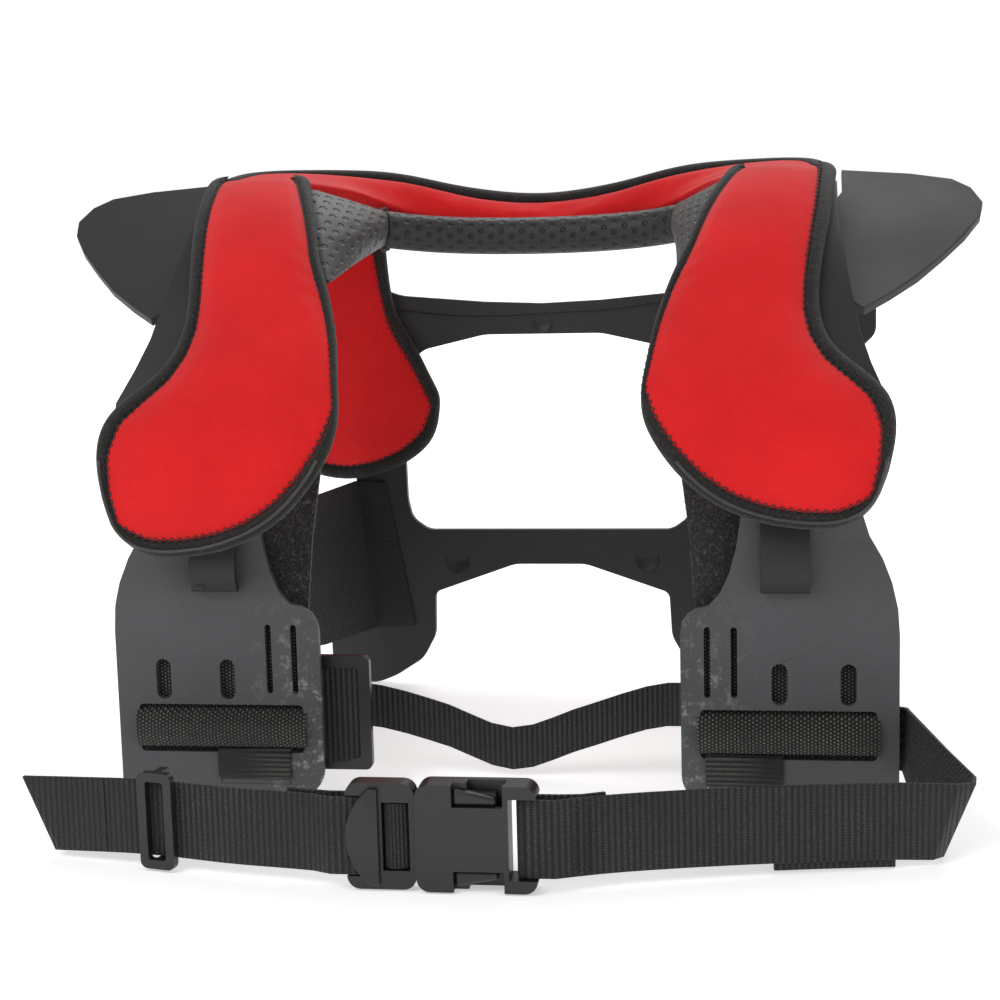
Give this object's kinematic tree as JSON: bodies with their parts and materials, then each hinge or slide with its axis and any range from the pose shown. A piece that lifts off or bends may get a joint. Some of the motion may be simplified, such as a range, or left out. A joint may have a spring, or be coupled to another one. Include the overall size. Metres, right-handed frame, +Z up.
{
  "type": "motocross neck brace",
  "caption": "Wearable neck brace: padded red collar on hard shoulder shells, slotted chest plates, open-frame back plate, side fins and a buckled webbing belt.",
  "frame": {"origin": "middle of the bounding box's bottom, on the floor the brace stands on", "axes": "+X to the right as seen from the front, +Y towards the back plate, +Z up"},
  "size_m": [0.408, 0.313, 0.2652],
  "materials": {
    "red_cloth": "matte knit",
    "binding_cloth": "ribbed elastic tape",
    "perforated_cloth": "perforated, slight sheen",
    "black_webbing": "ribbed weave",
    "hook_and_loop": "fuzzy",
    "grey_plastic": "satin",
    "black_plastic": "satin"
  },
  "bodies": {
    "root": {"front_pad_left": "red_cloth", "front_pad_right": "red_cloth", "rear_pad_left": "red_cloth", "rear_pad_right": "red_cloth", "collar_band": "red_cloth", "front_binding_left": "binding_cloth", "front_binding_right": "binding_cloth", "rear_binding_left": "binding_cloth", "rear_binding_right": "binding_cloth", "band_binding": "binding_cloth", "neck_roll": "perforated_cloth", "neck_wall_left": "perforated_cloth", "neck_wall_right": "perforated_cloth", "slot_strap_left": "black_webbing", "slot_strap_right": "black_webbing", "slot_loop_left": "black_webbing", "slot_loop_right": "black_webbing", "side_strap_left": "black_webbing", "side_strap_right": "black_webbing", "cross_strap": "black_webbing", "belt_left": "black_webbing", "belt_right": "black_webbing", "belt_tail": "black_webbing", "hook_loop_strap_left": "hook_and_loop", "hook_loop_strap_right": "hook_and_loop", "chest_plate_left": "grey_plastic", "chest_plate_right": "grey_plastic", "shoulder_shell_left": "black_plastic", "shoulder_shell_right": "black_plastic", "wing_left": "black_plastic", "wing_right": "black_plastic", "clip_tongue_left": "black_plastic", "clip_tongue_right": "black_plastic", "ladder_lock": "black_plastic", "back_plate": "black_plastic", "tri_glide": "black_plastic", "buckle_male": "black_plastic", "buckle_female": "black_plastic"}
  },
  "joints": []
}
